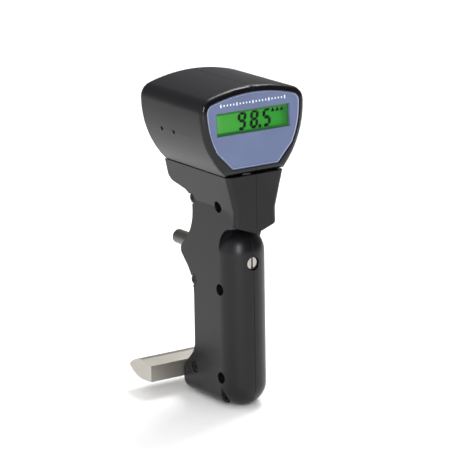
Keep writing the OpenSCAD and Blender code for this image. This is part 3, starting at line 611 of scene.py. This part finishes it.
def sweep_tree():
    """Flat profile swept along a closed outline in the XY plane."""
    build, given = geometry_tree(
        "sweep_outline",
        [("Width", "NodeSocketFloat"), ("Height", "NodeSocketFloat"),
         ("Material", "NodeSocketMaterial")],
    )
    curve = build.add("GeometryNodeMeshToCurve", {"Mesh": given["Geometry"]}).outputs[0]
    curve = build.add(
        "GeometryNodeSetCurveNormal", {"Curve": curve}, mode="Z_UP"
    ).outputs[0]
    profile = build.add(
        "GeometryNodeCurvePrimitiveQuadrilateral",
        {"Width": given["Width"], "Height": given["Height"]},
    ).outputs[0]
    swept = build.add(
        "GeometryNodeCurveToMesh",
        {"Curve": curve, "Profile Curve": profile, "Fill Caps": False},
    ).outputs[0]
    close_tree(build, swept, given["Material"])
    return build.tree


border_w = 0.75 * mm
border_t = 0.12 * mm
outline = inset(panel_loops[0], 0.35 * mm + border_w / 2)
path = edge_mesh("border_path", [(x, y, border_t / 4) for x, y in outline])
work = run_tree(
    sweep_tree(), path,
    {"Width": border_t, "Height": border_w, "Material": finishes["border"]},
)
border = evaluated(work, "panel_border", "tester", "border")
size = np.ptp([tuple(v.co) for v in border.data.vertices], axis=0) / mm
print("border size mm", size.round(2))
border.data.transform(face_plane)


# %% Painted green glow on the wall of the window recess
liner_t = 0.12 * mm
liner_deep = -(face_plane.inverted() @ Vector(cell_plane.col[3].xyz)).z - 0.05 * mm
path = edge_mesh(
    "liner_path",
    [(x, y, -liner_deep / 2) for x, y in inset(window_loop, liner_t / 2 + 0.02 * mm)],
)
work = run_tree(
    bpy.data.node_groups["sweep_outline"], path,
    {"Width": liner_deep, "Height": liner_t, "Material": finishes["glow"]},
)
liner = evaluated(work, "window_liner", "tester", "glow")
liner.data.transform(face_plane)
print("window recess mm", round(liner_deep / mm, 2))


# %% Scale of ticks above the window
def tick_tree():
    """Bars on the points of a line, each fifth one longer."""
    build, given = geometry_tree(
        "tick_scale",
        [("Count", "NodeSocketInt"), ("Step", "NodeSocketFloat"),
         ("Bar Width", "NodeSocketFloat"), ("Bar Height", "NodeSocketFloat"),
         ("Thickness", "NodeSocketFloat"), ("Material", "NodeSocketMaterial")],
    )
    offset = build.add("ShaderNodeCombineXYZ", {"X": given["Step"]}).outputs[0]
    line = build.add(
        "GeometryNodeMeshLine", {"Count": given["Count"], "Offset": offset}
    ).outputs[0]
    bar_size = build.add(
        "ShaderNodeCombineXYZ",
        {"X": given["Bar Width"], "Y": given["Bar Height"], "Z": given["Thickness"]},
    ).outputs[0]
    bar = build.add("GeometryNodeMeshCube", {"Size": bar_size}).outputs[0]
    index = build.add("GeometryNodeInputIndex").outputs[0]
    rest = build.maths("MODULO", index, 5.0)
    longer = build.ramp(build.maths("COMPARE", rest, 0.0, 0.1), 0.0, 1.0, 0.55, 1.0)
    scale = build.add("ShaderNodeCombineXYZ", {"X": 1.0, "Y": longer, "Z": 1.0}).outputs[0]
    bars = build.add(
        "GeometryNodeInstanceOnPoints", {"Points": line, "Instance": bar, "Scale": scale}
    ).outputs[0]
    close_tree(build, bars, given["Material"])
    return build.tree


tick_count = 21
tick_step = 2.0 * mm
tick_h = 1.7 * mm
print_t = 0.04 * mm
work = run_tree(
    tick_tree(), edge_mesh("tick_start", [(0, 0, 0)], closed=False),
    {"Count": tick_count, "Step": tick_step, "Bar Width": 0.62 * mm,
     "Bar Height": tick_h, "Thickness": print_t, "Material": finishes["print"]},
)
ticks = evaluated(work, "panel_scale", "tester", "print")
window_top = window_loop[:, 1].max()
panel_top = panel_loops[0][:, 1].max()
tick_y = window_top + 0.42 * (panel_top - window_top)
tick_x = -(tick_count - 1) / 2 * tick_step
ticks.data.transform(
    face_plane @ Matrix.Translation((tick_x, tick_y, print_t / 4))
)
print("ticks", len(ticks.data.polygons) // 6)

# %% [markdown]
# ## Digits
#
# The reading is built from seven-segment digits. Each segment is a thin plate with pointed
# ends, and the whole digit leans a little. The pieces stand just in front of the cell.


# %% Seven-segment reading
segments_of = {"9": "abcdfg", "8": "abcdefg", "5": "acdfg"}


def segment_plate(start, end, width):
    """Outline of a bar from start to end with pointed ends."""
    along = (end - start).normalized()
    side = Vector((-along.y, along.x)) * (width / 2)
    tip = along * (width / 2)
    return [start, start + tip + side, end - tip + side, end,
            end - tip - side, start + tip - side]


def digit_outlines(digit, low, size, width):
    """The segment outlines of a digit that fills a box at low with the given size."""
    half = width / 2
    left, right = low.x + half, low.x + size.x - half
    bottom, top = low.y + half, low.y + size.y - half
    middle = (bottom + top) / 2
    gap = width * 0.07
    corners = {
        "a": ((left, top), (right, top)), "d": ((left, bottom), (right, bottom)),
        "g": ((left, middle), (right, middle)), "f": ((left, middle), (left, top)),
        "b": ((right, middle), (right, top)), "e": ((left, bottom), (left, middle)),
        "c": ((right, bottom), (right, middle)),
    }
    found = []
    for letter in segments_of[digit]:
        start, end = (Vector(p) for p in corners[letter])
        shift = (end - start).normalized() * gap
        found.append(segment_plate(start + shift, end - shift, width))
    return found


def plates(name, shapes, thickness, lean=0.0, base=0.0):
    """Thin solid plates with the given outlines in the XY plane."""
    bm = bmesh.new()
    for shape in shapes:
        ring = [bm.verts.new((p[0] + lean * (p[1] - base), p[1], 0)) for p in shape]
        face = bm.faces.new(ring)
        grown = bmesh.ops.extrude_face_region(bm, geom=[face])
        top = [g for g in grown["geom"] if isinstance(g, bmesh.types.BMVert)]
        bmesh.ops.translate(bm, verts=top, vec=(0, 0, thickness))
    bmesh.ops.recalc_face_normals(bm, faces=bm.faces)
    mesh = bpy.data.meshes.new(name)
    bm.to_mesh(mesh)
    bm.free()
    return mesh


window_size = Vector(np.ptp(window_loop, axis=0))
window_centre = face_plane @ Vector((*window_loop.mean(axis=0), 0))
cell_centre = cell_plane.inverted() @ window_centre
window_corner = Vector((cell_centre.x, cell_centre.y)) - window_size / 2


def in_window(across, up):
    """A point of the cell's plane, by its share of the window's width and height."""
    return Vector(
        (window_corner.x + across * window_size.x, window_corner.y + up * window_size.y)
    )


digit_low, digit_high = 0.07, 0.9
bar_w = 0.15 * window_size.y
shapes = []
for digit, left_share, right_share in (("9", 0.32, 0.44), ("8", 0.49, 0.607), ("5", 0.66, 0.78)):
    low = in_window(left_share, digit_low)
    high = in_window(right_share, digit_high)
    shapes += digit_outlines(digit, low, high - low, bar_w)
dot = in_window(0.632, digit_low)
half_dot = bar_w / 2
shapes.append(
    [dot + Vector((x * half_dot, y * half_dot + half_dot))
     for x, y in ((-1, -1), (1, -1), (1, 1), (-1, 1))]
)
marker = in_window(0.86, 0.78)
marker_h = 0.1 * window_size.y
for k in range(3):
    x = marker.x + (k - 1) * 2.3 * marker_h
    shapes.append(
        [Vector((x - marker_h, marker.y - marker_h)), Vector((x + marker_h, marker.y - marker_h)),
         Vector((x, marker.y + marker_h))]
    )
lean = math.tan(math.radians(6))
reading = declare(
    plates("reading", shapes, 0.05 * mm, lean, window_corner.y),
    "reading", "tester", "digit",
)
reading.data.transform(cell_plane @ Matrix.Translation((0, 0, 0.05 * mm)))
print("segments and marks", len(shapes))

# %% [markdown]
# ## Screw heads with a cross slot
#
# One head is turned as a grid of rings. Its height is a formula: a dome, less a tapered cross.
# Geometry Nodes then put the head on each measured screw place.


# %% Turned head with a cross slot
def head_grid(name, radius, dome, depth, arm, reach, rings=26, spokes=72):
    """A domed disc with a cross-shaped hollow, facing -X, with its rim's back at x = 0."""
    points = []
    for ring in range(rings + 1):
        r = radius * ring / rings
        for spoke in range(spokes):
            angle = 2 * math.pi * spoke / spokes
            y, z = r * math.cos(angle), r * math.sin(angle)
            height = dome * (1 - (r / radius) ** 2) ** 0.6
            cross = min(
                max(abs(y) / arm, abs(z) / reach), max(abs(z) / arm, abs(y) / reach)
            )
            hollow = depth * min(1, max(0, (1.25 - cross) / 0.5))
            points.append((-(height - hollow), y, z))
    faces = []
    for ring in range(rings):
        for spoke in range(spokes):
            a = ring * spokes + spoke
            b = ring * spokes + (spoke + 1) % spokes
            faces.append((a, b, b + spokes, a + spokes))
    mesh = bpy.data.meshes.new(name)
    mesh.from_pydata(points, [], faces)
    bm = bmesh.new()
    bm.from_mesh(mesh)
    bmesh.ops.remove_doubles(bm, verts=bm.verts, dist=0.0005 * mm)
    rim = [e for e in bm.edges if len(e.link_faces) == 1]
    grown = bmesh.ops.extrude_edge_only(bm, edges=rim)
    low = [g for g in grown["geom"] if isinstance(g, bmesh.types.BMVert)]
    bmesh.ops.translate(bm, verts=low, vec=(0.25 * mm, 0, 0))
    bmesh.ops.contextual_create(bm, geom=[e for e in bm.edges if len(e.link_faces) == 1])
    bmesh.ops.recalc_face_normals(bm, faces=bm.faces)
    bm.to_mesh(mesh)
    bm.free()
    mesh.shade_smooth()
    mesh.set_sharp_from_angle(angle=math.radians(38))
    return mesh


def loose_parts(node):
    """Boxes of the separate solids of a CAD node."""
    bm = bmesh.new()
    bm.from_mesh(frame["nodes"][node].data)
    bmesh.ops.remove_doubles(bm, verts=bm.verts, dist=0.01 * mm)
    left = set(bm.verts)
    found = []
    while left:
        stack = [left.pop()]
        part = []
        while stack:
            vert = stack.pop()
            part.append(tuple(vert.co))
            for edge in vert.link_edges:
                other = edge.other_vert(vert)
                if other in left:
                    left.remove(other)
                    stack.append(other)
        part = np.array(part)
        found.append((part.min(axis=0), part.max(axis=0)))
    bm.free()
    return found


def stamp_tree():
    """One instance of an object on each point, turned about Z by the given Turn and about X by a random
    angle.
    """
    build, given = geometry_tree(
        "stamp_on_points",
        [("Piece", "NodeSocketObject"), ("Turn", "NodeSocketFloat"),
         ("Seed", "NodeSocketInt"), ("Material", "NodeSocketMaterial")],
    )
    piece = build.add("GeometryNodeObjectInfo", {"Object": given["Piece"]}).outputs["Geometry"]
    chance = build.add("FunctionNodeRandomValue", {"Seed": given["Seed"]}, data_type="FLOAT")
    chance.inputs[2].default_value = 0.0
    chance.inputs[3].default_value = math.pi / 2
    angle = build.add("ShaderNodeCombineXYZ", {"X": chance.outputs[1], "Z": given["Turn"]})
    turn = build.add("FunctionNodeEulerToRotation", {0: angle.outputs[0]}).outputs[0]
    placed = build.add(
        "GeometryNodeInstanceOnPoints",
        {"Points": given["Geometry"], "Instance": piece, "Rotation": turn},
    ).outputs[0]
    close_tree(build, placed, given["Material"])
    return build.tree


stamp = stamp_tree()


def cross_heads(node, seed, outward):
    """Cross-slotted heads over the outer ends of a screw node's shanks."""
    parts = loose_parts(node)
    heads = []
    for low, high in parts:
        place = (low + high) / 2
        place[0] = low[0] if outward < 0 else high[0]
        heads.append(tuple(place))
    width = max(high[2] - low[2] for low, high in parts)
    mesh = head_grid(
        node + "_head", width / 2 - 0.02 * mm, 0.38 * mm, 0.9 * mm, 0.32 * mm, 1.45 * mm
    )
    pattern = bpy.data.objects.new(node + "_head", mesh)
    scene.collection.objects.link(pattern)
    points = edge_mesh(node + "_places", heads, closed=False)
    work = run_tree(
        stamp, points,
        {"Piece": pattern, "Turn": math.pi if outward > 0 else 0.0, "Seed": seed,
         "Material": finishes["screw_dark"]},
    )
    piece = evaluated(
        work, node + "_cross_heads", body_of_node[node], "screw_dark"
    )
    bpy.data.objects.remove(pattern)
    return piece, heads


case_heads, case_places = cross_heads("case_screws", 3, -1)
head_heads, head_places = cross_heads("head_case_screws", 5, 1)
print("cross heads", len(case_places) + len(head_places))

# %% [markdown]
# ## Sleeve of the point
#
# The sleeve is turned from a profile with chamfers. A helix swept by Geometry Nodes makes the
# crests of its fine thread where it enters the handle.


# %% Turned sleeve with its thread
def turned(name, profile, spokes=96):
    """A closed body turned about the Y axis from a closed profile of (y, r) pairs."""
    points = []
    count = len(profile)
    for y, r in profile:
        for spoke in range(spokes):
            angle = 2 * math.pi * spoke / spokes
            points.append((r * math.cos(angle), y, r * math.sin(angle)))
    faces = []
    for k in range(count):
        for spoke in range(spokes):
            a = k * spokes + spoke
            b = k * spokes + (spoke + 1) % spokes
            c = (k + 1) % count * spokes + (spoke + 1) % spokes
            d = (k + 1) % count * spokes + spoke
            faces.append((a, b, c, d))
    mesh = bpy.data.meshes.new(name)
    mesh.from_pydata(points, [], faces)
    bm = bmesh.new()
    bm.from_mesh(mesh)
    bmesh.ops.recalc_face_normals(bm, faces=bm.faces)
    bm.to_mesh(mesh)
    bm.free()
    mesh.shade_smooth()
    mesh.set_sharp_from_angle(angle=math.radians(30))
    return mesh


sleeve_low, sleeve_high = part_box("point_sleeve")
axis_z = (sleeve_low.z + sleeve_high.z) / 2
sleeve_r = (sleeve_high.x - sleeve_low.x) / 2
root_r = sleeve_r - 0.2 * mm
point_r = (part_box("indenter")[1].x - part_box("indenter")[0].x) / 2 + 0.08 * mm
plunger_r = 2.55 * mm
tip_y = sleeve_high.y
chamfer = 0.5 * mm
profile = [
    (sleeve_low.y, plunger_r), (sleeve_low.y, root_r),
    (tip_y - 15 * mm, root_r), (tip_y - 15 * mm, sleeve_r),
    (tip_y - chamfer, sleeve_r), (tip_y - 0.15 * mm, sleeve_r - 0.33 * mm),
    (tip_y, sleeve_r - 0.6 * mm),
    (tip_y, point_r + 0.25 * mm), (tip_y - 0.25 * mm, point_r),
    (tip_y - 4 * mm, point_r), (tip_y - 4 * mm, plunger_r),
]
sleeve = declare(
    turned("sleeve", profile), "sleeve_turned", "tester", "sleeve",
    ("point_sleeve",),
)
sleeve.data.transform(Matrix.Translation((0, 0, axis_z)))


def helix_tree():
    """A ridge that runs round the Z axis as a helix."""
    build, given = geometry_tree(
        "thread_helix",
        [("Turns", "NodeSocketFloat"), ("Radius", "NodeSocketFloat"),
         ("Length", "NodeSocketFloat"), ("Ridge", "NodeSocketFloat"),
         ("Material", "NodeSocketMaterial")],
    )
    spiral = build.add(
        "GeometryNodeCurveSpiral",
        {"Resolution": 48, "Rotations": given["Turns"], "Start Radius": given["Radius"],
         "End Radius": given["Radius"], "Height": given["Length"]},
    ).outputs[0]
    profile = build.add(
        "GeometryNodeCurvePrimitiveCircle", {"Resolution": 8, "Radius": given["Ridge"]}
    ).outputs[0]
    ridge = build.add(
        "GeometryNodeCurveToMesh",
        {"Curve": spiral, "Profile Curve": profile, "Fill Caps": True},
    ).outputs[0]
    close_tree(build, ridge, given["Material"])
    return build.tree


thread_end = tip_y - 15.4 * mm
thread_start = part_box("sleeve_lock_nut")[1].y + 6 * mm
pitch = 0.75 * mm
ridge_r = 0.19 * mm
turns = (thread_end - thread_start) / pitch
work = run_tree(
    helix_tree(), edge_mesh("thread_start", [(0, 0, 0)], closed=False),
    {"Turns": turns, "Radius": root_r - 0.02 * mm, "Length": thread_end - thread_start,
     "Ridge": ridge_r, "Material": finishes["sleeve"]},
)
thread = evaluated(work, "sleeve_thread", "tester", "sleeve")
thread.data.transform(
    Matrix.Translation((0, thread_start, axis_z)) @ Matrix.Rotation(-math.pi / 2, 4, "X")
)
print("thread turns", round(turns, 1), "from y", round(thread_start / mm, 1))

# %% [markdown]
# ## Studio
#
# A pale floor and pale surroundings, which shiny pieces see darker, as in a dim studio. Soft
# lights: a narrow one above the camera for the line of light on the column, one high at the
# rear right, one overhead and one at the left.

# %% Floor, world and lights
def light(name, azimuth, elevation, distance, size, power, colour=(1, 1, 1)):
    """A rectangular light that looks at the middle of the tester."""
    data = bpy.data.lights.new(name, "AREA")
    data.shape = "RECTANGLE"
    data.size, data.size_y = size
    data.energy = power
    data.color = colour
    az, el = math.radians(azimuth), math.radians(elevation)
    away = Vector(
        (math.sin(az) * math.cos(el), -math.cos(az) * math.cos(el), math.sin(el))
    )
    obj = bpy.data.objects.new(name, data)
    scene.collection.objects.link(obj)
    obj.location = middle + away * distance
    obj.rotation_euler = away.to_track_quat("Z", "Y").to_euler()
    obj.visible_camera = False
    return obj


low, high = Vector(start_bounds[0]), Vector(start_bounds[1])
middle = (low + high) / 2
half_floor = 6.0
floor_mesh = bpy.data.meshes.new("floor")
floor_mesh.from_pydata(
    [(x * half_floor, y * half_floor, low.z - 0.02 * mm)
     for x, y in ((-1, -1), (1, -1), (1, 1), (-1, 1))],
    [], [(0, 1, 2, 3)],
)
floor = bpy.data.objects.new("floor", floor_mesh)
scene.collection.objects.link(floor)
floor_mesh.materials.append(
    finish_material("floor", (0.8, 0.8, 0.8), 0.8, vary=0.01, grain_mm=4, edge_mm=0.01,
                    bump_mm=0.001, wear=0.0, specular=0.2)
)

pale = linear(246, 246, 246)
world = bpy.data.worlds.new("studio")
scene.world = world
world.use_nodes = True
sky = Tree(world.node_tree)
world.node_tree.nodes.clear()
heading = sky.add("ShaderNodeTexCoord").outputs["Generated"]
parts = sky.add("ShaderNodeSeparateXYZ", {0: heading})
front = sky.ramp(parts.outputs["Y"], -0.8, 0.2)
left = sky.ramp(parts.outputs["X"], -0.3, -0.9)
lit = sky.mix(front, (0.05, 0.05, 0.055), (0.24, 0.24, 0.25))
lit = sky.mix(left, lit, (0.6, 0.6, 0.62))
around = sky.add("ShaderNodeBackground", {"Color": lit, "Strength": 1.0}).outputs[0]
seen = sky.add("ShaderNodeBackground", {"Color": (*pale, 1), "Strength": 1.0}).outputs[0]
mirrored = sky.add("ShaderNodeLightPath").outputs["Is Glossy Ray"]
both = sky.add("ShaderNodeMixShader", {0: mirrored, 1: seen, 2: around})
sky.add("ShaderNodeOutputWorld", {"Surface": both.outputs[0]})

light("strip_near_camera", -38, 20, 1.3, (0.05, 0.8), 11.0)
light("top_rear_right", 120, 60, 1.2, (0.5, 0.5), 12.0)
light("overhead", 0, 89, 1.6, (1.2, 1.2), 3.0)
light("left_side", -100, 10, 1.4, (0.8, 1.0), 1.2)

# %% [markdown]
# ## Camera
#
# The camera stands to the front left and a little above, and is rolled by about one degree.

# %% Camera at the viewing angle
azimuth = math.radians(-33.69)
elevation = math.radians(14.48)
roll = math.radians(-0.94)
distance = 1.540
aim_right, aim_up = -9.08 * mm, 95.46 * mm
back = Vector(
    (
        math.sin(azimuth) * math.cos(elevation),
        -math.cos(azimuth) * math.cos(elevation),
        math.sin(elevation),
    )
)
level = Vector((0, 0, 1)).cross(back).normalized()
upward = back.cross(level)
right = level * math.cos(roll) + upward * math.sin(roll)
top = upward * math.cos(roll) - level * math.sin(roll)
camera_data = bpy.data.cameras.new("camera")
camera_data.sensor_width = 36
camera_data.lens = 229.9
camera_data.clip_end = 50
camera = bpy.data.objects.new("camera", camera_data)
scene.collection.objects.link(camera)
target = right * aim_right + top * aim_up
turn = Matrix((right, top, back)).transposed().to_4x4()
camera.matrix_world = Matrix.Translation(target + back * distance) @ turn
scene.camera = camera
scene.view_settings.view_transform = "Standard"
